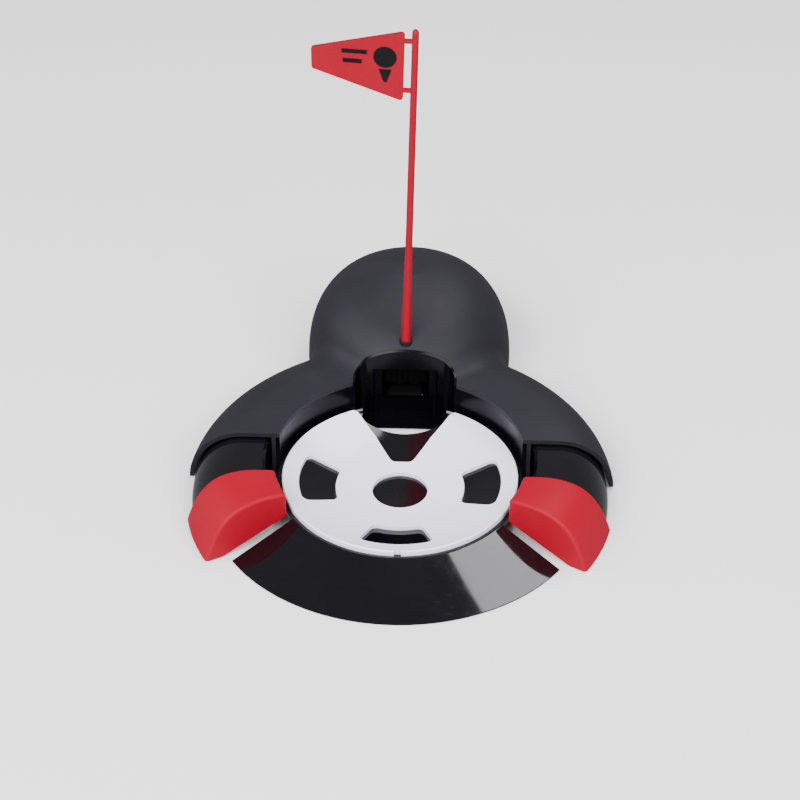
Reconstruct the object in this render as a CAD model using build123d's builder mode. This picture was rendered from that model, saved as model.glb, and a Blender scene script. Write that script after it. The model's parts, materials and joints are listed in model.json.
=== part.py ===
from build123d import *
import os
from math import cos, sin, tan, radians, sqrt

os.makedirs("parts", exist_ok=True)

# Putting cup with automatic ball return, in millimetres.
# The origin is on the floor at the centre of the round cup plate. +Y points to the
# rear dome, +X to the right of a golfer who looks at the cup, and +Z is up.

# Driving dimensions
overall_width = 210.0          # across the ends of the two arms
overall_length = 270.0         # front of the ramp to the back of the dome
ramp_front_r = 93.3            # front edge of the ramp
arm_end_y = 11.0               # the arms stop here
arm_r = sqrt((overall_width / 2) ** 2 + arm_end_y**2)
dome_rear_y = overall_length - ramp_front_r
dome_half_width = 53.0
dome_top_z = 56.5
dome_ridge_y = 121.7           # where the dome is highest
dome_nose = 65.7               # from there to its front
dome_rear_r = 55.4             # radius of its rear profile
base_z = 1.2                   # underside of the housing
base_t = 2.0                   # thickness of the bottom cover
wall = 2.2                     # wall of the top housing

# Cup plate: a shallow spherical dish
plate_r = 57.7
plate_t = 2.0
dish_centre_z = 4.0
dish_rim_z = 14.5
dish_k = (dish_rim_z - dish_centre_z) / plate_r**2
hole_r = 13.6
window_r = (31.5, 49.5)
window_half_angle = 21.5

# Ramp
ridge_r = 60.2
ridge_z = 12.0
ramp_edge_z = 0.6
ramp_side_angle = 33.5         # the ramp's side edges are radial, this far below X
tray_cut_r = 35.1              # rear edge of the tray, an arc round the pocket
tray_cut_y = 41.3

# Arms, liner and ball pocket
roof_z = 29.0
roof_flat_r = 78.5             # the roof is flat out to here and then rounds down
liner_r = (60.5, 62.5)
liner_bottom_z = 3.8
inner_wall_r = (62.6, 64.5)    # inner wall of the arms
pocket_half = 25.0
pocket_back_y = 66.5
pocket_corner = 6.0
niche_half = 16.4
niche_back_y = 68.5
niche_top_z = 30.0
pocket_floor_z = 2.0
pocket_front_y = 54.5          # front edge of the pocket's floor, seen in the notch
pocket_sides_y = 49.5          # its sides reach further in, under the cup plate
notch_half = 15.5

# Kicker, on a slide along Y
kick_z = 24.5
stroke = 18.0
kick_window = (12.0, 9.6, 28.6)  # half width, bottom, top

# Flagstick
foot = Vector(0, 71.5, 44.6)
lean = 1.4
pole_top = 175.5               # length above the foot
flag_azimuth = 173.6
grommet_r = 3.3
grommet_depth = 2.4

# Fastenings, as (X, Y) from the cup's axis
screw_r = 1.35
screw_spots = [(42, 101), (-42, 101), (36, 143), (-36, 143), (33.6, 68.8), (-33.6, 68.8)]
tray_spots = [(49, 20), (-49, 20)]
board_spots = [(x, y) for x in (-19, 19) for y in (84, 108)]
solenoid_spots = [(-14.4, 98), (14.4, 98)]

# Ball sensor: pivot (Y, Z) of the lever and the switch behind it
lever_pivot = (74.0, 7.6)
lever_pin_r = 1.25
switch_y = (77.6, 83.4)

tall = 60.0                    # cuts and trims reach at least this high


def dish(r):
    """Height of the top of the cup plate at radius r."""
    return dish_centre_z + dish_k * r**2


def radial_plane(angle):
    """Upright plane through the Z axis; its x is the radius and its y is the height."""
    a = radians(angle)
    return Plane(origin=(0, 0, 0), x_dir=(cos(a), sin(a), 0), z_dir=(sin(a), -cos(a), 0))


def dish_arc(r_from, r_to, drop):
    """Arc of the dish between two radii, lowered by drop."""
    r_mid = (r_from + r_to) / 2
    return ThreePointArc(
        (r_from, dish(r_from) - drop), (r_mid, dish(r_mid) - drop), (r_to, dish(r_to) - drop)
    )


# Footprints shared by several pieces
def pocket_plan(half, back, corner):
    """Plan of the ball pocket, open towards the cup."""
    with BuildSketch() as plan:
        with BuildLine():
            Polyline((-half, 35), (half, 35), (half, back), (-half, back), close=True)
        make_face()
        fillet(plan.vertices().group_by(Axis.Y)[-1], corner)
    return plan.sketch


def dome_level(z):
    """Half width, front and rear of the dome at height z."""
    half = dome_half_width * (1 - (z / dome_top_z) ** 2.65) ** 0.377
    front = dome_ridge_y - dome_nose * (1 - (z / (dome_top_z + 0.5)) ** 4) ** 0.625
    rear = dome_rear_y - dome_rear_r + sqrt(dome_rear_r**2 - (z - base_z) ** 2)
    return half, front, rear


def dome_loft(inset):
    """Rounded rear dome; inset moves its wall inwards."""
    with BuildPart() as dome:
        for angle in (0, 10, 20, 30, 40, 50, 60, 68, 75, 81, 85):
            z = max(base_z, dome_top_z * sin(radians(angle)) ** 0.8)
            half, front, rear = dome_level(z)
            with BuildSketch(Plane.XY.offset(z - (inset if angle else 0))):
                with Locations((0, (front + rear) / 2)):
                    Ellipse(half - inset * 0.75, (rear - front) / 2 - inset * 0.75)
        loft()
    return dome.part


def disc_slab(roof, rim_r):
    """Flat-roofed disc whose rim rounds down to the base."""
    with BuildPart() as slab:
        with BuildSketch(Plane.XZ):
            with BuildLine():
                Line((0, base_z), (rim_r, base_z))
                EllipticalCenterArc(
                    (roof_flat_r, base_z), rim_r - roof_flat_r, roof - base_z,
                    start_angle=0, arc_size=90,
                )
                Polyline((roof_flat_r, roof), (0, roof), (0, base_z))
            make_face()
        revolve(axis=Axis.Z)
    return slab.part


# Outer form of the housing: a disc with the dome rising out of it, blended together
with BuildPart() as outer_form:
    add(disc_slab(roof_z, arm_r))
    add(dome_loft(0))
    splines = outer_form.edges().filter_by(GeomType.BSPLINE)
    seam = splines.filter_by(lambda e: e.length > 30 and e.bounding_box().max.Y < 100)
    fillet(seam.filter_by(lambda e: e.bounding_box().max.Z < roof_z + 1), 12)

with BuildPart() as inner_void:
    add(disc_slab(roof_z - wall, arm_r - wall))
    add(dome_loft(wall))
    with BuildSketch(Plane.XY):
        Circle(inner_wall_r[1])
    extrude(amount=tall, mode=Mode.SUBTRACT)

# The liner is trimmed flush with the housing, and reaches lower than it
with BuildPart() as liner_form:
    add(outer_form.part)
    with BuildSketch(Plane.XY):
        Circle(72)
    extrude(amount=base_z + 0.1)

# Posts of the housing, ending inside its wall
with BuildPart() as boss_posts:
    with Locations(*[(x, y, 30) for x, y in screw_spots]):
        Cylinder(3.6, 2 * (30 - base_z - base_t))
    with BuildPart(mode=Mode.PRIVATE) as boss_limit:
        add(disc_slab(roof_z - 1, arm_r - 1))
        add(dome_loft(1.0))
    add(boss_limit.part, mode=Mode.INTERSECT)


def build_top_housing():
    """Satin shell: dome and two arms, with screw bosses and the flagstick socket."""
    with BuildPart() as top_housing:
        add(outer_form.part)
        add(inner_void.part, mode=Mode.SUBTRACT)
        # the roof reaches in over the top edge of the liner
        with BuildSketch(Plane.XY):
            Circle(inner_wall_r[0])
        extrude(amount=roof_z - wall, mode=Mode.SUBTRACT)
        with BuildSketch(Plane.XY):
            Circle(liner_r[0])
        extrude(amount=tall, mode=Mode.SUBTRACT)
        with BuildSketch(Plane.XY):
            with Locations((0, arm_end_y - 100)):
                Rectangle(300, 200)
        extrude(amount=tall, mode=Mode.SUBTRACT)
        # the inner wall stops above the bottom cover
        with BuildSketch(Plane.XY):
            Circle(inner_wall_r[1] + 0.3)
        extrude(amount=base_z + base_t + 0.1, mode=Mode.SUBTRACT)
        add(boss_posts.part)
        with Locations(*[(x, y, 8) for x, y in screw_spots]):
            Cylinder(screw_r, 9.7, mode=Mode.SUBTRACT)
        # socket for the flagstick
        socket = Plane(origin=foot, z_dir=(sin(radians(lean)), 0, cos(radians(lean))))
        with BuildSketch(socket.offset(-13.8)):
            Circle(3.9)
        extrude(amount=13)
        # room for the liner's pocket
        with BuildSketch(Plane.XY):
            add(pocket_plan(pocket_half + 1.1, pocket_back_y + 1.1, pocket_corner + 1.1))
        extrude(amount=tall, mode=Mode.SUBTRACT)
        with BuildSketch(Plane.XY):
            add(pocket_plan(niche_half + 2.1, niche_back_y + 2.1, 3.1))
        extrude(amount=niche_top_z + 0.6, mode=Mode.SUBTRACT)
        with BuildSketch(socket.offset(-15)):
            Circle(2.66)
        extrude(amount=30, mode=Mode.SUBTRACT)
        with BuildSketch(socket.offset(-grommet_depth)):
            Circle(grommet_r)
        extrude(amount=10, mode=Mode.SUBTRACT)
    trimmed = top_housing.part & outer_form.part
    return max(trimmed.solids(), key=lambda solid: solid.volume)


def build_inner_liner():
    """Gloss wall round the cup with the ball pocket and the kicker window."""
    with BuildPart() as liner:
        with BuildSketch(radial_plane(10.5)):
            liner_top = roof_z - wall - 0.1
            with Locations((sum(liner_r) / 2, (liner_bottom_z + liner_top) / 2)):
                Rectangle(liner_r[1] - liner_r[0], liner_top - liner_bottom_z)
        revolve(axis=Axis.Z, revolution_arc=159)
        with BuildSketch(Plane.XY.offset(0.8)):
            add(pocket_plan(pocket_half + 1, pocket_back_y + 1, pocket_corner + 1))
            Circle(liner_r[0], mode=Mode.SUBTRACT)
        extrude(amount=tall)
        with BuildSketch(Plane.XY.offset(0.8)):
            add(pocket_plan(niche_half + 2, niche_back_y + 2, 3))
            Circle(liner_r[0], mode=Mode.SUBTRACT)
        extrude(amount=niche_top_z - 0.4)
        with BuildSketch(Plane.XY.offset(pocket_floor_z)):
            add(pocket_plan(pocket_half, pocket_back_y, pocket_corner))
        extrude(amount=tall, mode=Mode.SUBTRACT)
        with BuildSketch(Plane.XY.offset(pocket_floor_z)):
            add(pocket_plan(niche_half, niche_back_y, 2))
        extrude(amount=niche_top_z - 1 - pocket_floor_z, mode=Mode.SUBTRACT)
        # floor of the pocket, reaching in under the notch of the cup plate
        with BuildSketch(Plane.XY.offset(0.8)):
            with Locations((0, (pocket_sides_y + 62) / 2)):
                Rectangle(2 * pocket_half, 62 - pocket_sides_y)
            with Locations((0, pocket_front_y - 10)):
                Rectangle(2 * notch_half, 20, mode=Mode.SUBTRACT)
        extrude(amount=pocket_floor_z - 0.8)
        half, bottom, top = kick_window
        with BuildSketch(Plane.XZ.offset(-60)):
            with Locations((0, (bottom + top) / 2)):
                RectangleRounded(2 * half, top - bottom, 1.5)
        extrude(amount=-20, mode=Mode.SUBTRACT)
    trimmed = liner.part & liner_form.part
    return max(trimmed.solids(), key=lambda solid: solid.volume)


def plate_plan():
    """Outline of the cup plate: a disc with a rounded notch towards the pocket."""
    with BuildSketch() as plan:
        Circle(plate_r)
        with BuildLine():
            Polyline(
                (-5, 21.2), (5, 21.2), (13.8, 37), (38, 71.4),
                (-38, 71.4), (-13.8, 37), close=True,
            )
        make_face(mode=Mode.SUBTRACT)
        fillet(plan.vertices().filter_by_position(Axis.Y, 45, 60), 4)
        fillet(plan.vertices().filter_by_position(Axis.Y, 21, 22), 3.5)
    return plan.sketch


def build_cup_plate():
    """White dished plate with a hole, three windows and the notch to the pocket."""
    with BuildPart() as plate:
        with BuildSketch(Plane.XZ):
            with BuildLine():
                dish_arc(0, plate_r - 0.5, 0)
                Line((plate_r - 0.5, dish(plate_r - 0.5)), (plate_r, dish_rim_z - 0.6))
                Line((plate_r, dish_rim_z - 0.6), (plate_r, 11.3))
                Line((plate_r, 11.3), (plate_r - 1.6, 11.3))
                inner = plate_r - 1.6
                Line((inner, 11.3), (inner, dish(inner) - plate_t))
                dish_arc(inner, 0, plate_t)
                Line((0, dish(0) - plate_t), (0, dish(0)))
            make_face()
        revolve(axis=Axis.Z)
        with BuildSketch(Plane.XY):
            Circle(hole_r)
        extrude(amount=30, mode=Mode.SUBTRACT)
        for angle in (0, 180, 270):
            with BuildSketch(Plane.XY):
                with BuildLine():
                    size = 2 * window_half_angle
                    start = angle - window_half_angle
                    inside = CenterArc((0, 0), window_r[0], start, size)
                    outside = CenterArc((0, 0), window_r[1], start, size)
                    Line(inside @ 0, outside @ 0)
                    Line(inside @ 1, outside @ 1)
                window = make_face()
                fillet(window.vertices(), 3.4)
            extrude(amount=30, mode=Mode.SUBTRACT)
        with BuildSketch(Plane.XY):
            add(plate_plan())
        extrude(amount=30, mode=Mode.INTERSECT)
        with BuildSketch(Plane.XY):
            with Locations((1.2, -plate_r)):
                Rectangle(3.4, 2.6)
        extrude(amount=30, mode=Mode.SUBTRACT)
    return plate.part


def build_ramp_tray():
    """Gloss front ramp with the dished tray that carries the cup plate."""
    seat = plate_r - 1.6
    with BuildPart() as tray:
        with BuildSketch(Plane.XZ):
            with BuildLine():
                dish_arc(0, seat, plate_t)
                Line((seat, dish(seat) - plate_t), (seat, 11.2))
                Line((seat, 11.2), (ridge_r - 1.4, 11.2))
                Line((ridge_r - 1.4, 11.2), (ridge_r - 0.6, ridge_z))
                Line((ridge_r - 0.6, ridge_z), (ridge_r, ridge_z))
                Line((ridge_r, ridge_z), (ridge_r, 9.4))
                Line((ridge_r, 9.4), (seat - 1, 9.4))
                Line((seat - 1, 9.4), (20, 0.6))
                Line((20, 0.6), (18, 0))
                Line((18, 0), (0, 0))
                Line((0, 0), (0, dish(0) - plate_t))
            make_face()
        revolve(axis=Axis.Z)
        with BuildSketch(Plane.XY):
            with Locations((0, tray_cut_y + tray_cut_r)):
                Circle(tray_cut_r)
            with Locations((0, 60)):
                Rectangle(42.6, 50, mode=Mode.INTERSECT)
        extrude(amount=30, mode=Mode.SUBTRACT)
        # lugs that take the tray screws
        with Locations(*[(x, y, 5.65) for x, y in tray_spots]):
            Cylinder(3.6, 4.7)
        with Locations(*[(x, y, 5.4) for x, y in tray_spots]):
            Cylinder(screw_r, 4.4, mode=Mode.SUBTRACT)
    with BuildPart() as ramp:
        with BuildSketch(Plane.XZ):
            with BuildLine():
                Polyline(
                    (ridge_r - 0.3, ridge_z), (ridge_r + 0.4, ridge_z - 0.1),
                    (ramp_front_r, ramp_edge_z), (ramp_front_r, 0),
                    (ramp_front_r - 3, 0), (ridge_r - 0.3, 9.4), close=True,
                )
            make_face()
        revolve(axis=Axis.Z)
        with BuildSketch(Plane.XY):
            with BuildLine():
                side_y = -120 * tan(radians(ramp_side_angle))
                Polyline(
                    (0, 0), (120, side_y), (120, -120), (-120, -120), (-120, side_y),
                    close=True,
                )
            make_face()
        extrude(amount=30, mode=Mode.INTERSECT)
        add(tray.part)
    return ramp.part


# Wings and caps
wing_r = (65.4, 102.0)
wing_angle = (-12.0, 38.0)     # front and rear end, for the right wing at rest
cap_angle = (-30.5, -11.0)
rail_r = (70.0, 72.0)
under_slope = 0.352            # underside of wings and caps, parallel to the ramp


def under_z(r):
    """Underside of wings and caps, just above the ramp."""
    return max(13.0 - (r - 60.0) * under_slope, 0.5)


def wing_sector(points, start, size):
    """Closed outline in the radius-height plane, turned about the cup axis."""
    with BuildPart() as sector:
        with BuildSketch(radial_plane(start)):
            with BuildLine():
                Polyline(*points, close=True)
            make_face()
        revolve(axis=Axis.Z, revolution_arc=size)
    return sector.part


def build_wing():
    """Right gate wing: a curved block on the arm's rail, with a tongue for its cap."""
    r_in, r_out = wing_r
    flat_r = 60.0 + 12.5 / under_slope
    top_z = roof_z - wall - 0.8
    tongue = [
        (r_in + 3, under_z(r_in + 3) + 3), (r_out - 9, 4.5), (r_out - 7, 8),
        (r_out - 13, 16), (r_out - 22, 20), (r_in + 3, 20),
    ]
    groove_in = rail_r[0] - 0.4
    groove_out = rail_r[1] + 0.4
    with BuildPart() as wing:
        with BuildSketch(radial_plane(cap_angle[1])):
            with BuildLine():
                Polyline((r_in, under_z(r_in)), (flat_r, 0.5), (r_out, 0.5), (r_out, base_z))
                EllipticalCenterArc(
                    (roof_flat_r, base_z), r_out - roof_flat_r, top_z - base_z,
                    start_angle=0, arc_size=90,
                )
                Polyline(
                    (roof_flat_r, top_z), (r_in + 1.5, top_z), (r_in, top_z - 1.2),
                    (r_in, under_z(r_in)),
                )
            make_face()
        revolve(axis=Axis.Z, revolution_arc=wing_angle[1] - cap_angle[1])
        add(wing_sector(tongue, cap_angle[0] + 7, cap_angle[1] - cap_angle[0] - 6))
        slot = [(groove_in, 0), (groove_out, 0), (groove_out, 18), (groove_in, 18)]
        add(wing_sector(slot, -7, 65), mode=Mode.SUBTRACT)
    return wing.part


def build_wing_cap():
    """Soft cap over the tip of the right wing."""
    outline = [(61.3, 12.6), (95.6, 0.5), (104.8, 0.5)]
    crown = [(104.8, 0.5), (101.6, 9.1), (96.8, 17.5), (90, 23.6), (81.5, 26.5), (72, 26.8),
             (61.3, 25.2)]
    with BuildPart() as cap:
        with BuildSketch(radial_plane(cap_angle[0])):
            with BuildLine():
                Polyline(*outline)
                Spline(*crown)
                Line(crown[-1], outline[0])
            make_face()
        revolve(axis=Axis.Z, revolution_arc=cap_angle[1] - cap_angle[0])
        edges = cap.edges().filter_by(lambda e: e.bounding_box().max.Z > 20)
        fillet(edges, 1.6)
        add(right_wing, mode=Mode.SUBTRACT)
    return cap.part


def build_flagstick():
    """Red pole moulded in one piece with its flag."""
    stick = Plane(origin=foot, z_dir=(sin(radians(lean)), 0, cos(radians(lean))))
    a = radians(flag_azimuth)
    side = Plane(origin=foot, x_dir=(cos(a), sin(a), 0), z_dir=(sin(a), -cos(a), 0))
    with BuildPart() as flagstick:
        with BuildSketch(Plane.XZ):
            with BuildLine():
                Polyline(
                    (0, -13), (2.2, -13), (2.55, -12), (2.55, 4), (1.75, 60),
                    (1.65, pole_top - 1.2), (0.9, pole_top), (0, pole_top), close=True,
                )
            make_face()
        revolve(axis=Axis.Z)
    pole = stick.location * flagstick.part
    with BuildPart() as cloth:
        with BuildSketch(side):
            shift = tan(radians(lean)) * pole_top
            with BuildLine():
                edge = 1.65 + 3.3 - shift
                Polyline(
                    (edge, pole_top - 1), (edge + 1, pole_top - 37.8),
                    (edge + 44.4, pole_top - 23.5), (edge + 44.4, pole_top - 12.2),
                    close=True,
                )
            outline = make_face()
            fillet(outline.vertices(), 1.5)
            with Locations((edge - 0.6, pole_top - 6), (edge, pole_top - 32)):
                Rectangle(7.2, 2.2)
        extrude(amount=0.6, both=True)
    with BuildPart() as whole:
        add(pole)
        add(cloth.part)
    return whole.part


def build_flag_grommet():
    """Dark collar round the foot of the pole."""
    socket = Plane(origin=foot, z_dir=(sin(radians(lean)), 0, cos(radians(lean))))
    with BuildPart() as grommet:
        with BuildSketch(Plane.XZ):
            with BuildLine():
                Polyline(
                    (2.66, -grommet_depth), (grommet_r, -grommet_depth), (grommet_r, -0.3),
                    (grommet_r - 0.3, 0), (2.66, 0), close=True,
                )
            make_face()
        revolve(axis=Axis.Z)
    return socket.location * grommet.part


# Battery compartment on the underside, three AA cells lying across
cell_r = 7.25
cell_len = 50.0
cell_z = base_z + 2.9 + cell_r
cell_ys = [121.4, 136.6, 151.8]
bay_half = 30.0
bay_y = (113.6, 161.9)
bay_corner = 6.5
bay_wall = 1.4
bay_height = 19.0
door_half = 29.2
door_y = (114.6, 159.6)
door_t = 1.8
hinge_y = 160.0
ear_x = 21.0
hinge_z = base_z + 1.5

seat_z = 12.0                  # top of the solenoid's seat


def bay_block(grow):
    """Outside (grow = wall) or inside (grow = 0) of the battery bay."""
    with BuildPart() as block:
        with BuildSketch(Plane.XY.offset(base_z)) as plan:
            with Locations((0, sum(bay_y) / 2)):
                Rectangle(2 * (bay_half + grow), bay_y[1] - bay_y[0] + 2 * grow)
            fillet(plan.vertices().group_by(Axis.Y)[-1], bay_corner + grow)
        extrude(amount=bay_height - bay_wall + grow)
        top_edges = block.edges().group_by(Axis.Z)[-1]
        chamfer(top_edges.filter_by(lambda e: e.center().Y > bay_y[1] - bay_corner), 3.4)
    return block.part


def screw(x, y, z, length, recess=0.9):
    """Countersunk cross-head screw that points up, its head's face at height z."""
    with BuildPart() as one:
        with BuildSketch(Plane.XZ):
            with BuildLine():
                Polyline(
                    (0, 0), (2.8, 0), (screw_r, 1.5), (screw_r, length - 1), (0, length),
                    close=True,
                )
            make_face()
        revolve(axis=Axis.Z)
        if recess:
            Box(3.2, 0.7, 2 * recess, mode=Mode.SUBTRACT)
            Box(0.7, 3.2, 2 * recess, mode=Mode.SUBTRACT)
    return Pos(x, y, z) * one.part


def group(pieces):
    """Several equal pieces kept as separate solids in one part."""
    with BuildPart() as together:
        for piece in pieces:
            add(piece)
    return together.part


def build_base_cover():
    """Bottom cover with the battery bay, the wing rails and the posts."""
    top = base_z + base_t
    with BuildPart() as base:
        with BuildSketch(Plane.XY.offset(base_z)):
            with Locations((0, (56 + dome_rear_y) / 2)):
                Ellipse(dome_half_width - 2.8, (dome_rear_y - 56) / 2 - 2.8)
            Circle(roof_flat_r + 4)
            with Locations((0, arm_end_y - 100)):
                Rectangle(300, 200, mode=Mode.SUBTRACT)
            Circle(45.0, mode=Mode.SUBTRACT)
            with Locations((0, pocket_back_y + 1.2 - 30)):
                Rectangle(2 * pocket_half + 2.4, 60, mode=Mode.SUBTRACT)
            with Locations((0, niche_back_y + 2.2 - 30)):
                Rectangle(2 * niche_half + 4.4, 60, mode=Mode.SUBTRACT)
        extrude(amount=base_t)
        # the outer edge of the arms is left open for the wings
        rail = [(rail_r[0], top - 1), (rail_r[1], top - 1), (rail_r[1], 17), (rail_r[0], 17)]
        for start in (11.5, 122.5):
            add(wing_sector(rail, start, 46))
        # battery bay
        add(bay_block(bay_wall))
        add(bay_block(0), mode=Mode.SUBTRACT)
        for x in (-ear_x, ear_x):
            with Locations((x, hinge_y + 0.6, base_z + 1.8)):
                Box(1.8, 3.6, 3.6)
            with Locations((x, hinge_y, hinge_z)):
                Cylinder(0.8, 4, rotation=(0, 90, 0), mode=Mode.SUBTRACT)
        # seats for the solenoid, the lever pin and the board
        with Locations((0, 98, (top + seat_z) / 2)):
            Box(24, 27, seat_z - top)
            Box(33, 6, seat_z - top)
        with Locations(*[(x, y, 8) for x, y in solenoid_spots]):
            Cylinder(1.0, 8.2, mode=Mode.SUBTRACT)
        for x in (-9.6, 9.6):
            with Locations((x, lever_pivot[0], top + 3.2)):
                Box(2, 5, 6.4)
        with Locations((0, *lever_pivot)):
            Cylinder(lever_pin_r, 24, rotation=(0, 90, 0), mode=Mode.SUBTRACT)
        with Locations(*[(x, y, 20) for x, y in board_spots]):
            Cylinder(2.4, 40 - 2 * top)
        with Locations(*[(x, y, 33) for x, y in board_spots]):
            Cylinder(0.9, 8, mode=Mode.SUBTRACT)
        for x, y in screw_spots + tray_spots:
            add(screw(x, y, base_z, 10, recess=0), mode=Mode.SUBTRACT)
        with Locations((-41, 122, base_z)):
            Box(5, 11, 10, mode=Mode.SUBTRACT)
        with Locations((0, bay_y[0] - 0.8, base_z + 0.8)):
            Box(8.8, 2.4, 2.4, mode=Mode.SUBTRACT)
    return max(base.part.solids(), key=lambda solid: solid.volume)


def build_battery_door():
    """Door of the battery bay with its hinge barrel and latch tongue."""
    with BuildPart() as door:
        with BuildSketch(Plane.XY.offset(base_z)):
            with Locations((0, (door_y[0] + 157.2) / 2)):
                Rectangle(2 * door_half, 157.2 - door_y[0])
            with Locations((0, (157 + door_y[1]) / 2)):
                Rectangle(2 * ear_x - 2.4, door_y[1] - 157)
            with Locations((0, door_y[0] - 0.9)):
                Rectangle(8, 2.2)
        extrude(amount=door_t)
        with Locations((0, hinge_y, hinge_z)):
            Cylinder(1.5, 2 * ear_x - 2.4, rotation=(0, 90, 0))
            Cylinder(0.86, 2 * door_half, rotation=(0, 90, 0), mode=Mode.SUBTRACT)
        for i in range(5):
            with Locations((0, 119.5 + 2.2 * i, base_z)):
                Box(18, 0.9, 1.0, mode=Mode.SUBTRACT)
    return door.part


def build_door_pins():
    """Two hinge pins between the door and the bay's ears."""
    pins = []
    for x in (0.6 - ear_x, ear_x - 0.6):
        with BuildPart() as pin:
            with Locations((x, hinge_y, hinge_z)):
                Cylinder(0.8, 3, rotation=(0, 90, 0))
        pins.append(pin.part)
    return group(pins)


def build_battery_cells():
    """Three AA cells, turned end for end."""
    cells = []
    for i, y in enumerate(cell_ys):
        way = 1 - 2 * (i % 2)
        with BuildPart() as cell:
            with Locations((0, y, cell_z)):
                Cylinder(cell_r, cell_len, rotation=(0, 90, 0))
            with Locations((way * (cell_len / 2 + 0.6), y, cell_z)):
                Cylinder(2.7, 1.2, rotation=(0, 90, 0))
        cells.append(cell.part)
    return group(cells)


def coil_spring(radius, wire, length, turns):
    """Round-wire helical spring that stands on the origin along +Z."""
    with BuildPart() as spring:
        with BuildLine():
            path = Helix(pitch=length / turns, height=length, radius=radius)
        with BuildSketch(Plane(origin=path @ 0, z_dir=path % 0)):
            Circle(wire)
        sweep()
    return spring.part


def build_battery_springs():
    """Contact springs at the flat ends of the cells."""
    springs = []
    for i, y in enumerate(cell_ys):
        way = 1 - 2 * (i % 2)
        place = Plane(origin=(-way * (cell_len / 2 + 0.5), y, cell_z), z_dir=(-way, 0, 0))
        springs.append(place.location * coil_spring(3.4, 0.4, 3.6, 3))
    return group(springs)


def build_battery_plates():
    """Sprung contact leaves at the button ends and plates behind the springs."""
    plates = []
    for i, y in enumerate(cell_ys):
        way = 1 - 2 * (i % 2)
        with BuildPart() as leaf:
            with Locations((way * (cell_len / 2 + 1.4), y, cell_z)):
                Box(0.4, 7.6, 7)
            with Locations((way * (cell_len / 2 + 3.2), y, cell_z + 3.3)):
                Box(3.6, 7.6, 0.4)
            with Locations((way * (bay_half - 0.2), y, cell_z)):
                Box(0.4, 7.6, 7)
        with BuildPart() as plate:
            with Locations((-way * (bay_half - 0.2), y, cell_z)):
                Box(0.4, 7.6, 7)
        plates += [leaf.part, plate.part]
    return group(plates)


# Kicker and its solenoid, on an axis along Y
frame_y = (84.0, 111.5)
plunger_y = (109.5, 134.0)
frame_t = 1.5


def along_y(y):
    """Plane across the kicker axis; its normal points to the back."""
    return Plane(origin=(0, y, kick_z), x_dir=(1, 0, 0), z_dir=(0, 1, 0))


def build_kicker_head():
    """Ribbed pusher that strikes the ball."""
    with BuildPart() as head:
        with Locations((0, 73.4, 22.8)):
            Box(22.4, 3.2, 10.4)
        fillet(head.edges().filter_by(Axis.Y), 1.2)
        for i in range(7):
            with Locations((-9 + 3 * i, 71.5, 22.8)):
                Box(1.3, 1.2, 9)
        with BuildSketch(along_y(75)):
            Circle(3.4)
        extrude(amount=3)
        with BuildSketch(along_y(74)):
            Circle(1.9)
        extrude(amount=5, mode=Mode.SUBTRACT)
    return head.part


def build_kicker_plunger():
    """Steel plunger with the push rod that carries the head."""
    with BuildPart() as plunger:
        with BuildSketch(along_y(74)):
            Circle(1.9)
        extrude(amount=plunger_y[0] - 74)
        with BuildSketch(along_y(plunger_y[0])):
            Circle(4.0)
        extrude(amount=plunger_y[1] - plunger_y[0])
        chamfer(plunger.edges().sort_by(Axis.Y)[-1], 0.6)
    return plunger.part


def build_solenoid_frame():
    """Bent steel bracket that holds the coil."""
    with BuildPart() as frame:
        with BuildSketch(Plane.YZ):
            with BuildLine():
                front, back = frame_y
                bottom, top = seat_z, 35.6
                Polyline(
                    (front, bottom), (back, bottom), (back, top), (back - frame_t, top),
                    (back - frame_t, bottom + frame_t), (front + frame_t, bottom + frame_t),
                    (front + frame_t, top), (front, top), close=True,
                )
            make_face()
        extrude(amount=11, both=True)
        with Locations((0, 98, seat_z + frame_t / 2)):
            Box(33, 6, frame_t)
        with Locations(*[(x, y, seat_z) for x, y in solenoid_spots]):
            Cylinder(1.0, 6, mode=Mode.SUBTRACT)
        with BuildSketch(along_y(frame_y[0] - 1)):
            Circle(2.2)
        extrude(amount=5, mode=Mode.SUBTRACT)
        with BuildSketch(along_y(frame_y[1] - 3)):
            Circle(4.2)
        extrude(amount=5, mode=Mode.SUBTRACT)
    return frame.part


def ring_along_y(y, length, r_in, r_out):
    """Tube on the kicker axis."""
    with BuildPart() as ring:
        with BuildSketch(along_y(y)):
            Circle(r_out)
            Circle(r_in, mode=Mode.SUBTRACT)
        extrude(amount=length)
    return ring.part


def build_solenoid_bobbin():
    """Plastic bobbin: a tube with two flanges."""
    y0 = frame_y[0] + frame_t
    y1 = frame_y[1] - frame_t
    with BuildPart() as bobbin:
        add(ring_along_y(y0, y1 - y0, 4.2, 5.2))
        add(ring_along_y(y0, 1.2, 4.2, 10.2))
        add(ring_along_y(y1 - 1.2, 1.2, 4.2, 10.2))
    return bobbin.part


def build_solenoid_coil():
    """Copper winding between the flanges."""
    y0 = frame_y[0] + frame_t + 1.2
    return ring_along_y(y0, frame_y[1] - frame_t - 1.2 - y0, 5.2, 9.6)


def build_return_spring():
    """Spring round the rod that pushes the plunger back after a kick."""
    y0 = frame_y[0] + frame_t + 0.45
    return along_y(y0).location * coil_spring(3.0, 0.4, plunger_y[0] - y0 - 0.45, 6)


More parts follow.
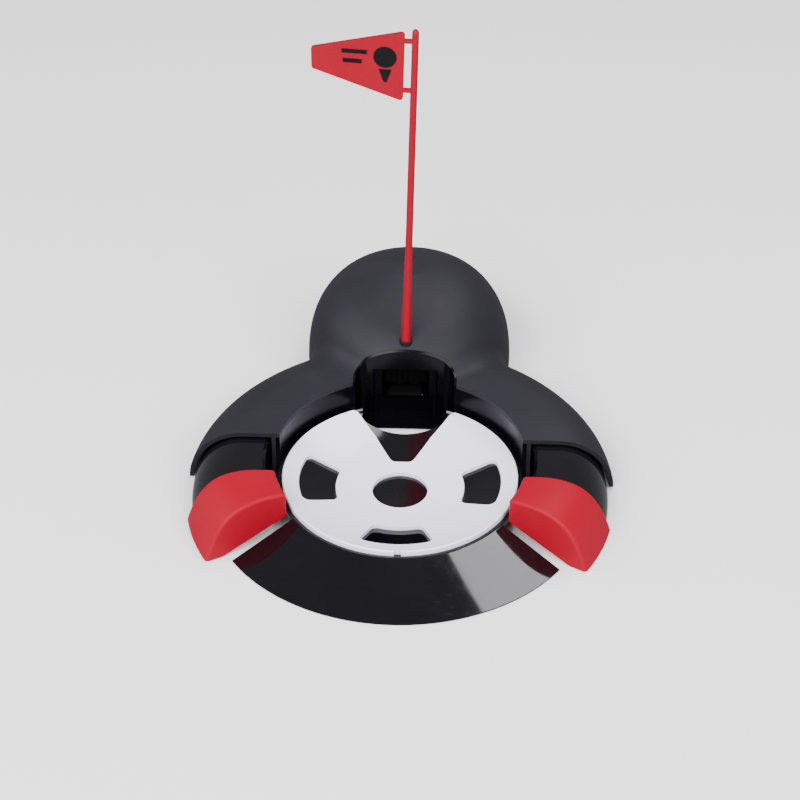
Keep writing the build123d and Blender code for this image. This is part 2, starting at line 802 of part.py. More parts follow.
def build_trigger_lever():
    """Lever that the ball presses back."""
    y, z = lever_pivot
    with BuildPart() as lever:
        with BuildSketch(Plane.YZ):
            with BuildLine():
                Polyline(
                    (y - 2.2, z + 1), (y - 2.8, z + 3), (y - 7.4, z + 4), (y - 9, z + 6.4),
                    (y - 8.2, z + 8), (y - 4.5, z + 8.2), (y + 1.6, z + 5.9), (y + 2.2, z),
                    close=True,
                )
            make_face()
            with Locations((y, z)):
                Circle(2.4)
        extrude(amount=8.2, both=True)
        with Locations((0, y, z)):
            Cylinder(1.31, 20, rotation=(0, 90, 0), mode=Mode.SUBTRACT)
    return lever.part


def build_trigger_pin():
    """Pin of the lever, held in the two ears."""
    with BuildPart() as pin:
        with Locations((0, *lever_pivot)):
            Cylinder(lever_pin_r, 21.2, rotation=(0, 90, 0))
    return pin.part


def build_micro_switch():
    """Small snap switch behind the lever."""
    with BuildPart() as switch:
        with Locations((0, sum(switch_y) / 2, (base_z + base_t + 16) / 2)):
            Box(12.8, switch_y[1] - switch_y[0], 16 - base_z - base_t)
        with Locations((0, switch_y[0] + 1.5, 12.8)):
            Cylinder(1.3, 3, rotation=(90, 0, 0), mode=Mode.SUBTRACT)
    return switch.part


def build_switch_button():
    """Button of the snap switch."""
    with BuildPart() as button:
        with Locations((0, 77.65, 12.8)):
            Cylinder(1.2, 3.1, rotation=(90, 0, 0))
    return button.part


# Electronics
board_z = 36.8
board_t = 1.6


def build_circuit_board():
    """Driver board on four posts above the solenoid."""
    with BuildPart() as board:
        with Locations((0, 96, board_z + board_t / 2)):
            Box(44, 30, board_t)
        for x, y in board_spots:
            with Locations((x, y, board_z)):
                Cylinder(0.9, 6, mode=Mode.SUBTRACT)
        with Locations((-9, 88, board_z + board_t + 0.8)):
            Box(7, 6, 1.6)
        with Locations((8, 88, board_z + board_t + 1.1)):
            Box(6, 5, 2.2)
    return board.part


def build_capacitor():
    """Storage capacitor that fires the solenoid."""
    with BuildPart() as capacitor:
        with Locations((0, 100, board_z + board_t + 5)):
            Cylinder(5, 24, rotation=(0, 90, 0))
        fillet(capacitor.edges(), 0.6)
    return capacitor.part


def build_pan_screws(spots, z, length, radius, head):
    """Pan-head screws that point down, heads above height z."""
    screws = []
    for x, y in spots:
        with BuildPart() as one:
            with Locations((x, y, z + 0.6)):
                Cylinder(head, 1.2)
            with Locations((x, y, z - length / 2)):
                Cylinder(radius, length)
        screws.append(one.part)
    return group(screws)


# Power switch on the underside
power_x = -41.0


def build_power_switch_body():
    """Housing of the slide switch, on top of the bottom cover."""
    floor = base_z + base_t
    with BuildPart() as body:
        with Locations((power_x, 122, floor + 3)):
            Box(8, 15, 6)
        with Locations((power_x, 122, floor + 1.4)):
            Box(3.8, 11, 2.8, mode=Mode.SUBTRACT)
    return body.part


def build_power_switch_slider():
    """Knob of the slide switch."""
    with BuildPart() as slider:
        with Locations((power_x, 119.6, (0.6 + 5.6) / 2)):
            Box(3.2, 4, 5.0)
        for i in range(3):
            with Locations((power_x, 118.4 + 1.2 * i, 0.6)):
                Box(3.2, 0.4, 0.6, mode=Mode.SUBTRACT)
    return slider.part


def build_rubber_feet():
    """Feet under the bottom cover."""
    feet = []
    for x, y in [(38, 90), (35.6, 151.5), (67.5, 31)]:
        for side in (-1, 1):
            with BuildPart() as foot_pad:
                with Locations((side * x, y, base_z / 2)):
                    Cylinder(3.8, base_z)
                fillet(foot_pad.edges().sort_by(Axis.Z)[0], 0.4)
            feet.append(foot_pad.part)
    return group(feet)


right_wing = build_wing()
right_cap = build_wing_cap()

pieces = {
    "top_housing": build_top_housing(),
    "inner_liner": build_inner_liner(),
    "base_cover": build_base_cover(),
    "ramp_tray": build_ramp_tray(),
    "cup_plate": build_cup_plate(),
    "wing_right": right_wing,
    "wing_left": mirror(right_wing, about=Plane.YZ),
    "wing_cap_right": right_cap,
    "wing_cap_left": mirror(right_cap, about=Plane.YZ),
    "flagstick": build_flagstick(),
    "flag_grommet": build_flag_grommet(),
    "kicker_head": build_kicker_head(),
    "kicker_plunger": build_kicker_plunger(),
    "solenoid_frame": build_solenoid_frame(),
    "solenoid_bobbin": build_solenoid_bobbin(),
    "solenoid_coil": build_solenoid_coil(),
    "return_spring": build_return_spring(),
    "trigger_lever": build_trigger_lever(),
    "trigger_pin": build_trigger_pin(),
    "micro_switch": build_micro_switch(),
    "switch_button": build_switch_button(),
    "circuit_board": build_circuit_board(),
    "capacitor": build_capacitor(),
    "battery_cells": build_battery_cells(),
    "battery_springs": build_battery_springs(),
    "battery_plates": build_battery_plates(),
    "battery_door": build_battery_door(),
    "door_pins": build_door_pins(),
    "power_switch_body": build_power_switch_body(),
    "power_switch_slider": build_power_switch_slider(),
    "housing_screws": group([screw(x, y, base_z, 10) for x, y in screw_spots]),
    "tray_screws": group([screw(x, y, base_z, 6.2) for x, y in tray_spots]),
    "board_screws": build_pan_screws(board_spots, board_z + board_t, 7, 0.9, 1.7),
    "solenoid_screws": build_pan_screws(solenoid_spots, seat_z + frame_t, 7, 1.0, 1.9),
    "rubber_feet": build_rubber_feet(),
}

for label, piece in pieces.items():
    piece.label = label
    export_step(piece, f"parts/{label}.step")
    print(label, round(piece.volume, 1), len(piece.solids()))
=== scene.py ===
# %% [markdown]
# A putting cup with automatic ball return: a white dished cup plate, a black ramp in
# front, two curved gate wings with red caps, a rounded black housing behind and a red
# flagstick. The CAD frame already holds every rigid piece at its place and size, so
# this lesson is about the camera, the light, the finishes of moulded plastic and the
# one thing that the frame leaves out, the printed mark on the flag.

# %% Load the frame
import json
from math import radians, sin, cos, pi

import bpy
from mathutils import Matrix, Vector


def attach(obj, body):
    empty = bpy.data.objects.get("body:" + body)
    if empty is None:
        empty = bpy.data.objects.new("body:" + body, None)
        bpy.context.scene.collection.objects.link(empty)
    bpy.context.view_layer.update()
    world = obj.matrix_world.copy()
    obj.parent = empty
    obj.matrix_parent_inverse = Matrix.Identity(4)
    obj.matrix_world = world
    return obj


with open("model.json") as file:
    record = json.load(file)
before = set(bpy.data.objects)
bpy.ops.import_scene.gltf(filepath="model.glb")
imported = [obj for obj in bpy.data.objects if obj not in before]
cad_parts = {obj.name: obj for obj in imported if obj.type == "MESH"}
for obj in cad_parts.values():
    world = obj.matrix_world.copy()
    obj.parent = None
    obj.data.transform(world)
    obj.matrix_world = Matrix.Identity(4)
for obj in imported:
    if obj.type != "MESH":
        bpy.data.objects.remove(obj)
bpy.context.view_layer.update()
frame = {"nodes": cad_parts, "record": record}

NODES = frame["nodes"]


# %% [markdown]
# The camera stands about 1.2 metres away and looks down at about 37 degrees, as for a
# catalogue picture. A short lens close by would stretch the near edge of the ramp, so
# a long lens is used, which keeps the ellipses of the plate and the ramp calm. The
# object is seen turned by a couple of degrees. The frame may not be turned, so the
# camera is swung about the cup's axis instead.

# %% Camera
CAMERA_TURN = radians(2.4)
CAMERA_ELEVATION = radians(36.98)
CAMERA_REACH = 0.9298          # horizontal distance from the cup's axis
CAMERA_HEIGHT = 0.7601
LENS = 109.7
SENSOR_WIDTH = 36.0

camera_data = bpy.data.cameras.new("camera")
camera_data.lens = LENS
camera_data.sensor_width = SENSOR_WIDTH
camera = bpy.data.objects.new("camera", camera_data)
bpy.context.scene.collection.objects.link(camera)
camera.location = (
    CAMERA_REACH * sin(CAMERA_TURN), -CAMERA_REACH * cos(CAMERA_TURN), CAMERA_HEIGHT
)
camera.rotation_euler = (pi / 2 - CAMERA_ELEVATION, 0, CAMERA_TURN)
bpy.context.scene.camera = camera
print("camera at", [round(v, 3) for v in camera.location])


# %% [markdown]
# The cup stands on a plain pale table. The table lies a hair under the feet, so that
# the two surfaces don't flicker into each other. A real pale table would also mirror
# in the black gloss and turn it grey, so this one is left out of glossy reflections.

# %% Floor
FLOOR_SIZE = 8
FLOOR_DROP = 0.0002


def deselect():
    """Nothing selected, and object mode: operators act on all that is selected."""
    if bpy.context.object and bpy.context.object.mode != "OBJECT":
        bpy.ops.object.mode_set(mode="OBJECT")
    bpy.ops.object.select_all(action="DESELECT")


def new_material(name):
    """Material with nodes: the material, its tree and its Principled BSDF."""
    material = bpy.data.materials.new(name)
    material.use_nodes = True
    tree = material.node_tree
    return material, tree, tree.nodes["Principled BSDF"]


deselect()
bpy.ops.mesh.primitive_plane_add(size=FLOOR_SIZE, location=(0, 0, 0))
floor = bpy.context.object
floor.name = "floor"
floor.data.transform(Matrix.Translation((0, 0, -FLOOR_DROP)))
floor_paint, floor_tree, floor_bsdf = new_material("floor_paint")
floor_bsdf.inputs["Base Color"].default_value = (0.92, 0.92, 0.92, 1)
floor_bsdf.inputs["Roughness"].default_value = 0.9
floor_bsdf.inputs["Specular IOR Level"].default_value = 0.1
floor.data.materials.append(floor_paint)
floor.visible_glossy = False
print("floor:", FLOOR_SIZE, "m square,", len(floor_tree.nodes), "nodes in its paint")


# %% [markdown]
# Big soft boxes suit glossy plastic: what shows in the gloss is mostly the lamps, so
# their size and place matter more than their strength. The two main boxes stand in
# front, high on both sides of the camera, where no level surface can mirror them into
# the lens, so black plastic stays black and the white plate is bright. A smaller box
# high at the right back is mirrored by the slope of the ramp only, and lays a pale
# patch on its right half. A dim sky fills the shadows.

# %% Lamps and sky
LAMP_COLOUR = (0.97, 0.96, 1.0)
SKY_COLOUR = (0.96, 0.94, 1, 1)
SKY_STRENGTH = 0.33
CUP_CENTRE = (0, 0.02, 0.02)


def soft_box(name, place, target, power, width, height):
    """Rectangular lamp at place that faces target."""
    data = bpy.data.lights.new(name, "AREA")
    data.energy = power
    data.shape = "RECTANGLE"
    data.color = LAMP_COLOUR
    data.size = width
    data.size_y = height
    lamp = bpy.data.objects.new(name, data)
    bpy.context.scene.collection.objects.link(lamp)
    lamp.location = place
    aim = Vector(target) - Vector(place)
    lamp.rotation_euler = aim.to_track_quat("-Z", "Y").to_euler()
    return lamp


world = bpy.data.worlds.new("studio")
bpy.context.scene.world = world
world.use_nodes = True
world.node_tree.nodes["Background"].inputs["Color"].default_value = SKY_COLOUR
world.node_tree.nodes["Background"].inputs["Strength"].default_value = SKY_STRENGTH

LAMPS = [
    soft_box("key_box", (-0.60, -1.00, 1.15), CUP_CENTRE, 46.0, 1.1, 1.1),
    soft_box("fill_box", (0.90, -0.85, 1.05), CUP_CENTRE, 28.0, 1.0, 1.0),
    soft_box("left_box", (-1.05, 0.10, 0.75), (0, 0.06, 0.02), 7.0, 0.6, 0.8),
    soft_box("ramp_box", (0.305, 0.42, 0.945), (0.02, -0.05, 0.01), 6.0, 0.46, 0.42),
]
print("lamps:", [(lamp.name, lamp.data.energy) for lamp in LAMPS])


# %% [markdown]
# Node trees are built in code with a few small helpers, so that each finish below
# reads like a recipe. They take a socket or a plain number where a node allows both.
# Patterns read object coordinates: every piece sits unturned at the origin, so a
# pattern has the same scale, in metres, on all of them.

# %% Node helpers
def object_place(tree):
    """Object coordinates of the point that is shaded."""
    return tree.nodes.new("ShaderNodeTexCoord").outputs["Object"]


def noise(tree, vector, scale, detail=3.0, rough=0.5):
    """Noise texture on a vector; scale is a number or a socket."""
    node = tree.nodes.new("ShaderNodeTexNoise")
    node.inputs["Detail"].default_value = detail
    node.inputs["Roughness"].default_value = rough
    tree.links.new(vector, node.inputs["Vector"])
    if isinstance(scale, (int, float)):
        node.inputs["Scale"].default_value = scale
    else:
        tree.links.new(scale, node.inputs["Scale"])
    return node.outputs["Fac"]


def math_node(tree, operation, a, b):
    """Math node on two sockets or numbers."""
    node = tree.nodes.new("ShaderNodeMath")
    node.operation = operation
    for i, value in enumerate((a, b)):
        if isinstance(value, (int, float)):
            node.inputs[i].default_value = value
        else:
            tree.links.new(value, node.inputs[i])
    return node.outputs[0]


def remap(tree, value, low, high, to_low, to_high):
    """Clamped map of a value from one range to another."""
    node = tree.nodes.new("ShaderNodeMapRange")
    tree.links.new(value, node.inputs["Value"])
    for label, number in (
        ("From Min", low), ("From Max", high), ("To Min", to_low), ("To Max", to_high)
    ):
        node.inputs[label].default_value = number
    return node.outputs["Result"]


def new_group(name, inputs, outputs):
    """Empty shader node group with float inputs (name, default) and float outputs."""
    group = bpy.data.node_groups.new(name, "ShaderNodeTree")
    for label, value in inputs:
        socket = group.interface.new_socket(label, in_out="INPUT", socket_type="NodeSocketFloat")
        socket.default_value = value
    for label in outputs:
        group.interface.new_socket(label, in_out="OUTPUT", socket_type="NodeSocketFloat")
    enter = group.nodes.new("NodeGroupInput")
    leave = group.nodes.new("NodeGroupOutput")
    return group, enter, leave, object_place(group)


print("helpers: object_place, noise, math_node, remap, new_group")


# %% [markdown]
# Moulded plastic is never one flat colour. Three effects come back in all of the
# plastics, so each is a node group that is built once and placed in every material
# with its own values. The first is the grain of the mould: fine leathery bumps, and a
# slow mottle for the colour.

# %% Mould grain
def make_grain():
    """Mould grain: fine bumps over a slow mottle."""
    group, enter, leave, place = new_group("mould_grain", [("Scale", 1500.0)], ["Height", "Mottle"])
    fine = noise(group, place, enter.outputs["Scale"], 2.0, 0.6)
    slow = noise(group, place, 45.0, 2.0, 0.5)
    group.links.new(fine, leave.inputs["Height"])
    group.links.new(slow, leave.inputs["Mottle"])
    return group


GRAIN = make_grain()
print("grain:", len(GRAIN.nodes), "nodes")


# %% [markdown]
# The cup is picked up and pushed over floors, so it has smudges and hair scratches.
# A scratch is noise that is stretched a lot along one direction, and three such
# layers, each turned another way, cross like real ones. Only the peaks of the noise
# are kept, so the hairs stay sparse.

# %% Handling marks
HAIR_ALONG = 26.0              # low: a hair is long this way
HAIR_ACROSS = 1500.0           # high: and very thin this way
HAIR_LAYERS = ((0.5, 1.0), (1.9, 1.3), (2.7, 0.8))     # turn in radians, stretch


def make_handling():
    """Smudges from fingers and fine hair scratches."""
    group, enter, leave, place = new_group(
        "handling", [("Smudge Scale", 60.0)], ["Smudge", "Scratch"]
    )
    smudge = noise(group, place, enter.outputs["Smudge Scale"], 5.0, 0.62)
    group.links.new(remap(group, smudge, 0.46, 0.72, 0.0, 1.0), leave.inputs["Smudge"])
    hairs = []
    for turn, stretch in HAIR_LAYERS:
        turned = group.nodes.new("ShaderNodeMapping")
        turned.inputs["Rotation"].default_value = (0.3, 0.2, turn)
        turned.inputs["Scale"].default_value = (HAIR_ALONG * stretch, HAIR_ACROSS, HAIR_ACROSS)
        group.links.new(place, turned.inputs["Vector"])
        fibre = noise(group, turned.outputs["Vector"], 1.0, 1.0, 0.4)
        hairs.append(remap(group, fibre, 0.71, 0.76, 0.0, 1.0))
    both = math_node(group, "MAXIMUM", hairs[0], hairs[1])
    group.links.new(math_node(group, "MAXIMUM", both, hairs[2]), leave.inputs["Scratch"])
    return group


HANDLING = make_handling()
print("handling:", len(HANDLING.nodes), "nodes")


# %% [markdown]
# Dust settles only where a surface looks up, so its mask is the upward part of the
# normal, times sparse specks and a faint film.

# %% Dust
def make_dust():
    """Sparse specks and a film that lie on faces which point up."""
    group, enter, leave, place = new_group("dust", [("Amount", 0.5)], ["Dust"])
    geometry = group.nodes.new("ShaderNodeNewGeometry")
    split = group.nodes.new("ShaderNodeSeparateXYZ")
    group.links.new(geometry.outputs["Normal"], split.inputs[0])
    upward = remap(group, split.outputs["Z"], 0.35, 1.0, 0.0, 1.0)
    specks = remap(group, noise(group, place, 900.0, 2.0, 0.7), 0.66, 0.74, 0.0, 1.0)
    film = remap(group, noise(group, place, 30.0, 4.0, 0.6), 0.4, 0.8, 0.0, 0.35)
    dust = math_node(group, "MULTIPLY", math_node(group, "ADD", specks, film), upward)
    amount = math_node(group, "MULTIPLY", dust, enter.outputs["Amount"])
    group.links.new(amount, leave.inputs["Dust"])
    return group


DUST = make_dust()
print("dust:", len(DUST.nodes), "nodes")


# %% [markdown]
# One recipe serves all the moulded plastics. The colour drifts slightly with the
# mottle, smudges and scratches change the roughness, dust lightens what faces up, and
# the grain goes to a bump. Only the numbers differ between satin, gloss and rubber.
# Numbers that are the same all over a piece go on the shader's own sockets.

# %% Plastic recipe
DUST_COLOUR = (0.22, 0.21, 0.20)
GRAIN_STRENGTH = 0.35
COAT_ROUGH = 0.06


def place_group(tree, group, **values):
    """Adds a node group to a material and sets its inputs."""
    node = tree.nodes.new("ShaderNodeGroup")
    node.node_tree = group
    for label, value in values.items():
        node.inputs[label].default_value = value
    return node


def mix_colour(tree, factor, a, b):
    """Mixes two colours, each a socket or a tuple, by a factor socket."""
    node = tree.nodes.new("ShaderNodeMix")
    node.data_type = "RGBA"
    tree.links.new(factor, node.inputs["Factor"])
    for socket, value in (("A", a), ("B", b)):
        target = [i for i in node.inputs if i.name == socket and i.type == "RGBA"][0]
        if isinstance(value, tuple):
            target.default_value = (*value, 1.0)
        else:
            tree.links.new(value, target)
    return [o for o in node.outputs if o.type == "RGBA"][0]


def shade(colour, amount):
    """A colour made lighter or darker."""
    return tuple(min(1.0, c * amount) for c in colour)


def add_bump(tree, height, strength, distance):
    """Bump from a height; distance is in metres."""
    node = tree.nodes.new("ShaderNodeBump")
    node.inputs["Strength"].default_value = strength
    node.inputs["Distance"].default_value = distance
    tree.links.new(height, node.inputs["Height"])
    return node.outputs["Normal"]


def plastic(
    name, colour, rough, grain_scale=1500.0, grain_depth=0.00002, drift=0.12,
    smudge=0.08, scratch=0.1, dust=0.25, coat=0.0, specular=0.5,
):
    """Moulded plastic or rubber with its own numbers."""
    material, tree, bsdf = new_material(name)
    grain = place_group(tree, GRAIN, Scale=grain_scale)
    hands = place_group(tree, HANDLING)
    dirt = place_group(tree, DUST, Amount=dust)
    base = mix_colour(
        tree, grain.outputs["Mottle"], shade(colour, 1 - drift), shade(colour, 1 + drift)
    )
    base = mix_colour(tree, dirt.outputs["Dust"], base, DUST_COLOUR)
    tree.links.new(base, bsdf.inputs["Base Color"])
    dull = math_node(tree, "MULTIPLY", hands.outputs["Smudge"], smudge)
    worn = math_node(tree, "MULTIPLY", hands.outputs["Scratch"], scratch)
    marked = math_node(tree, "ADD", math_node(tree, "ADD", dull, worn), rough)
    total = math_node(tree, "ADD", marked, dirt.outputs["Dust"])
    tree.links.new(total, bsdf.inputs["Roughness"])
    normal = add_bump(tree, grain.outputs["Height"], GRAIN_STRENGTH, grain_depth)
    tree.links.new(normal, bsdf.inputs["Normal"])
    bsdf.inputs["Specular IOR Level"].default_value = specular
    bsdf.inputs["Coat Weight"].default_value = coat
    bsdf.inputs["Coat Roughness"].default_value = COAT_ROUGH
    return material


print("recipe: plastic, from", [g.name for g in bpy.data.node_groups])


# %% [markdown]
# The housing is black plastic from a textured mould: satin, with a faint violet cast.
# The liner, wings and ramp come from polished moulds. The cup plate is glossy white,
# the caps are soft red rubber and the flagstick is a red plastic. The strong lamps
# wash colours out, so the blacks and reds are darker and purer here than they look.

# %% Plastic finishes
PLASTICS = {
    "housing_black": dict(
        colour=(0.0125, 0.0118, 0.0160), rough=0.54, grain_scale=1300.0,
        grain_depth=0.00003, smudge=0.06, dust=0.05, specular=0.22,
    ),
    "gloss_black": dict(
        colour=(0.0020, 0.0019, 0.0030), rough=0.06, grain_scale=400.0,
        grain_depth=0.000004, smudge=0.06, scratch=0.10, dust=0.02, coat=0.2, specular=0.4,
    ),
    "liner_black": dict(
        colour=(0.0016, 0.0015, 0.0026), rough=0.18, grain_scale=500.0,
        grain_depth=0.000006, smudge=0.10, scratch=0.10, dust=0.02, specular=0.12,
    ),
    "plate_white": dict(
        colour=(0.90, 0.87, 1.00), rough=0.22, grain_scale=300.0,
        grain_depth=0.000004, drift=0.012, smudge=0.05, scratch=0.05, dust=0.01, coat=0.3,
    ),
    "cap_red": dict(
        colour=(0.30, 0.0008, 0.0130), rough=0.46, grain_scale=2200.0,
        grain_depth=0.00002, drift=0.08, smudge=0.10, dust=0.0, specular=0.12,
    ),
    "flag_red": dict(
        colour=(0.26, 0.0008, 0.0120), rough=0.42, grain_scale=1200.0,
        grain_depth=0.00001, drift=0.06, dust=0.0, specular=0.12,
    ),
    "dark_plastic": dict(
        colour=(0.0045, 0.0045, 0.0055), rough=0.50, grain_scale=1600.0,
        grain_depth=0.00003, dust=0.02, specular=0.25,
    ),
    # Painted shade: the pieces behind the kicker's window get a near-black colour that stands in
    # for the shade inside the housing; high roughness and low specular keep reflections off them.
    "window_shade_black": dict(
        colour=(0.0010, 0.0010, 0.0012), rough=0.80, grain_scale=1600.0,
        grain_depth=0.00003, dust=0.0, specular=0.06,
    ),
    "rubber_black": dict(
        colour=(0.0040, 0.0040, 0.0042), rough=0.70, grain_scale=2600.0,
        grain_depth=0.00004, dust=0.10, specular=0.25,
    ),
    "print_black": dict(
        colour=(0.0030, 0.0030, 0.0035), rough=0.55, grain_scale=3000.0,
        grain_depth=0.000004, drift=0.25, smudge=0.15, scratch=0.3, dust=0.01, specular=0.25,
    ),
}
FINISH = {name: plastic(name, **numbers) for name, numbers in PLASTICS.items()}
print("plastics:", list(FINISH))


# %% [markdown]
# Inside are steel and plated parts. The cells and their contacts show when the
# battery door opens, and the rest would show on a bench. Worked metal is never
# even, so one fine noise drives the colour, the roughness and the bump together. On
# steel it is stretched along Y, which makes it look brushed.

# %% Worked metal
def metal(name, colour, rough, streaks, along=(1.0, 1.0, 1.0)):
    """Worked metal with fine streaks."""
    material, tree, bsdf = new_material(name)
    turned = tree.nodes.new("ShaderNodeMapping")
    turned.inputs["Scale"].default_value = along
    tree.links.new(object_place(tree), turned.inputs["Vector"])
    streak = noise(tree, turned.outputs["Vector"], streaks, 3.0, 0.6)
    base = mix_colour(tree, streak, shade(colour, 0.8), shade(colour, 1.1))
    tree.links.new(base, bsdf.inputs["Base Color"])
    tree.links.new(remap(tree, streak, 0.3, 0.7, rough, rough + 0.15), bsdf.inputs["Roughness"])
    tree.links.new(add_bump(tree, streak, 0.2, 0.00002), bsdf.inputs["Normal"])
    bsdf.inputs["Metallic"].default_value = 1.0
    return material


FINISH["steel"] = metal("steel", (0.56, 0.56, 0.57), 0.24, 500.0, (1.0, 0.1, 1.0))
FINISH["zinc"] = metal("zinc", (0.68, 0.69, 0.70), 0.22, 900.0)
print("metals: steel, zinc")


# %% [markdown]
# The solenoid's coil is enamelled copper wire laid in turns. Modelling hundreds of
# turns would cost far more faces than they are worth inside a closed housing, so a
# wave texture makes the bands in the colour and the bump. The same recipe with other
# periods serves the printed wrap of the cells and the capacitor's sleeve.

# %% Windings, wraps and sleeve
WAVE_PERIOD = 0.314            # metres between the bands of a wave texture at scale 1


def banded(name, colours, axis, period, metallic=0.0, rough=0.35, soft=0.5):
    """Two-colour finish in bands along an axis; period is in metres."""
    material, tree, bsdf = new_material(name)
    wave = tree.nodes.new("ShaderNodeTexWave")
    wave.bands_direction = axis
    wave.inputs["Scale"].default_value = WAVE_PERIOD / period
    wave.inputs["Distortion"].default_value = soft
    wave.inputs["Detail"].default_value = 1.0
    tree.links.new(object_place(tree), wave.inputs["Vector"])
    band = wave.outputs["Fac"]
    tree.links.new(mix_colour(tree, band, *colours), bsdf.inputs["Base Color"])
    tree.links.new(remap(tree, band, 0.0, 1.0, rough + 0.1, rough), bsdf.inputs["Roughness"])
    tree.links.new(add_bump(tree, band, 0.4, period / 4), bsdf.inputs["Normal"])
    bsdf.inputs["Metallic"].default_value = metallic
    return material


FINISH["copper"] = banded(
    "copper", ((0.32, 0.10, 0.03), (0.78, 0.34, 0.14)), "Y", 0.00045, metallic=0.9, rough=0.3
)
FINISH["cell_wrap"] = banded(
    "cell_wrap", ((0.02, 0.02, 0.022), (0.05, 0.05, 0.055)), "X", 0.012,
    metallic=0.3, rough=0.22, soft=0.0,
)
FINISH["capacitor_sleeve"] = banded(
    "capacitor_sleeve", ((0.012, 0.018, 0.06), (0.03, 0.04, 0.12)), "Z", 0.006, rough=0.25
)
print("banded: copper, cell_wrap, capacitor_sleeve")


# %% [markdown]
# The board is green under its solder mask, and the copper traces beneath it show as
# lighter lines. A brick texture gives straight lines that meet at right angles, which
# is near enough to a simple board's traces at this size.

# %% Circuit board
def board_finish():
    """Green solder mask with lighter traces beneath it."""
    material, tree, bsdf = new_material("board_green")
    place = object_place(tree)
    brick = tree.nodes.new("ShaderNodeTexBrick")
    brick.inputs["Scale"].default_value = 260.0
    brick.inputs["Mortar Size"].default_value = 0.03
    brick.inputs["Color1"].default_value = (0.012, 0.12, 0.05, 1)
    brick.inputs["Color2"].default_value = (0.016, 0.15, 0.06, 1)
    brick.inputs["Mortar"].default_value = (0.03, 0.26, 0.11, 1)
    tree.links.new(place, brick.inputs["Vector"])
    tree.links.new(brick.outputs["Color"], bsdf.inputs["Base Color"])
    mottle = noise(tree, place, 700.0)
    tree.links.new(remap(tree, mottle, 0.3, 0.7, 0.2, 0.35), bsdf.inputs["Roughness"])
    return material


FINISH["board_green"] = board_finish()
print("finishes:", len(FINISH))


# %% [markdown]
# The record names a material slot for every node, and the finishes above have the
# slots' names, so one loop dresses the whole frame. Four nodes get a finish of their
# own: the liner is a little softer than the ramp's gloss, and the pieces that stand
# behind the kicker's window carry painted shade, a near-black colour that stands in
# for the shade inside the housing, on a dull surface, so that nothing bright shows in it.

# %% Give every CAD node its finish
SLOT_OF = {row["node"]: row["material_slot"] for row in frame["record"]["subparts"]}
SLOT_OF["inner_liner"] = "liner_black"
# The pieces behind the kicker's window take the painted-shade finish.
for behind_window in ("trigger_lever", "switch_button", "kicker_head"):
    SLOT_OF[behind_window] = "window_shade_black"
for node_name, node in NODES.items():
    node.data.materials.clear()
    node.data.materials.append(FINISH[SLOT_OF[node_name]])
print("finished nodes:", len(SLOT_OF))


# %% [markdown]
# The flag carries a printed mark. A plain sign is used: a ball on a tee, with two bars
# behind it that show its flight. The ink is thick enough to have an edge, so it is
# real geometry, not colour. Each shape is a thin primitive whose top face is drawn in
# and lifted, so that its edge slopes, and it stands about a tenth of a millimetre
# proud of the flag. The shapes are drawn flat, with u away from the pole and v up.

# %% Shapes of ink
INK = 0.00012                  # thickness of a shape before its top is lifted
INK_LIFT = 0.35 * INK
INK_SLOPE = 0.00015            # width of the sloping edge


def settle(obj):
    """Moves an object's place into its mesh, so that it sits at the origin unturned."""
    deselect()
    obj.select_set(True)
    bpy.context.view_layer.objects.active = obj
    bpy.ops.object.transform_apply(location=True, rotation=True, scale=True)
    return obj


def ink_edge(obj):
    """Draws the top face in and lifts it a little, so that the edge slopes."""
    deselect()
    bpy.context.view_layer.objects.active = obj
    obj.select_set(True)
    top = max(obj.data.polygons, key=lambda face: face.center.z).index
    bpy.ops.object.mode_set(mode="EDIT")
    bpy.ops.mesh.select_mode(type="FACE")
    bpy.ops.mesh.select_all(action="DESELECT")
    bpy.ops.object.mode_set(mode="OBJECT")
    obj.data.polygons[top].select = True
    bpy.ops.object.mode_set(mode="EDIT")
    bpy.ops.mesh.inset(thickness=INK_SLOPE, depth=0.0)
    bpy.ops.transform.translate(value=(0, 0, INK_LIFT))
    bpy.ops.object.mode_set(mode="OBJECT")


def ink_disc(u, v, radius):
    """Round spot of ink at (u, v) in the flag's plane."""
    deselect()
    bpy.ops.mesh.primitive_cylinder_add(
        vertices=64, radius=radius, depth=INK, location=(u, v, 0)
    )
    spot = settle(bpy.context.object)
    ink_edge(spot)
    return spot


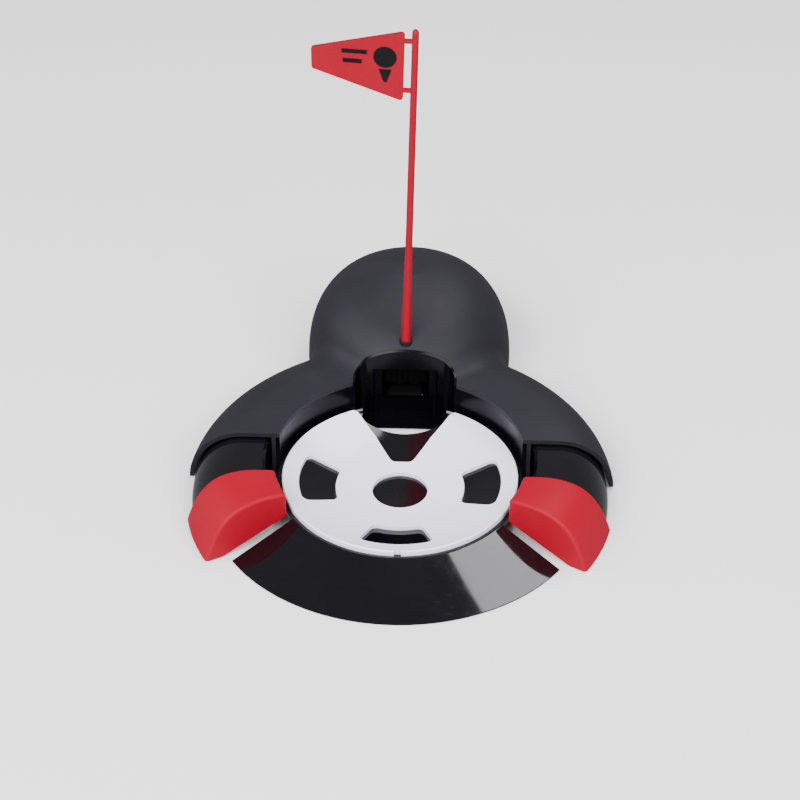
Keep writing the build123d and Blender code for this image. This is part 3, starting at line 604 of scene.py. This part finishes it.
def ink_bar(u, v, length, width, tip=1.0):
    """Bar of ink; its lower end is tip times as wide as its upper end."""
    deselect()
    bpy.ops.mesh.primitive_cube_add(size=1, location=(u, v, 0))
    bar = bpy.context.object
    bar.scale = (length, width, INK)
    settle(bar)
    bpy.ops.object.mode_set(mode="EDIT")
    bpy.ops.mesh.select_mode(type="VERT")
    bpy.ops.mesh.select_all(action="DESELECT")
    bpy.ops.object.mode_set(mode="OBJECT")
    for vertex in bar.data.vertices:
        vertex.select = vertex.co.y < v
    bpy.ops.object.mode_set(mode="EDIT")
    bpy.ops.transform.resize(value=(tip, 1, 1), center_override=(u, v, 0))
    bpy.ops.object.mode_set(mode="OBJECT")
    ink_edge(bar)
    return bar


print("ink:", round(1000 * (INK + INK_LIFT), 3), "mm thick")


# %% [markdown]
# The mark is printed on both faces of the flag. It is drawn once for each face and
# then stood up by a matrix whose columns are the flag's own directions: along it, up
# and out of the face. On the front that matrix mirrors the shape, which turns its
# faces inwards, so they are flipped back.

# %% Printed mark on the flag
FLAG_FOOT = Vector((0.0, 0.0715, 0.0446))      # where the pole enters the housing
FLAG_TURN = radians(173.6)                     # the flag's direction from the pole
FLAG_HALF = 0.0006                             # half the flag's thickness
INK_CENTRE = 0.25 * INK                        # so that a quarter of the ink is sunk in


def flag_mark(name, side):
    """The whole mark on one face of the flag: side -1 is the front, +1 the back."""
    shapes = [
        ink_disc(u=0.0100, v=0.1605, radius=0.0055),
        ink_bar(u=0.0100, v=0.1508, length=0.0062, width=0.0068, tip=0.22),
        ink_bar(u=0.0245, v=0.1625, length=0.0120, width=0.0022),
        ink_bar(u=0.0255, v=0.1575, length=0.0090, width=0.0022),
    ]
    deselect()
    for shape in shapes:
        shape.select_set(True)
    mark = shapes[0]
    bpy.context.view_layer.objects.active = mark
    bpy.ops.object.join()
    mark.name = name
    along = Vector((cos(FLAG_TURN), sin(FLAG_TURN), 0))
    up = Vector((0, 0, 1))
    out = along.cross(up) * side
    turn = Matrix((along, up, out)).transposed().to_4x4()
    centre = FLAG_FOOT + out * (FLAG_HALF + INK_CENTRE)
    mark.data.transform(Matrix.Translation(centre) @ turn)
    if side < 0:
        mark.data.flip_normals()
    mark.data.materials.clear()
    mark.data.materials.append(FINISH["print_black"])
    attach(mark, "flagstick")
    return mark


MARKS = [flag_mark("flag_mark_front", -1), flag_mark("flag_mark_back", 1)]
print("marks:", [(mark.name, len(mark.data.polygons)) for mark in MARKS])


# %% End
print("scene built")
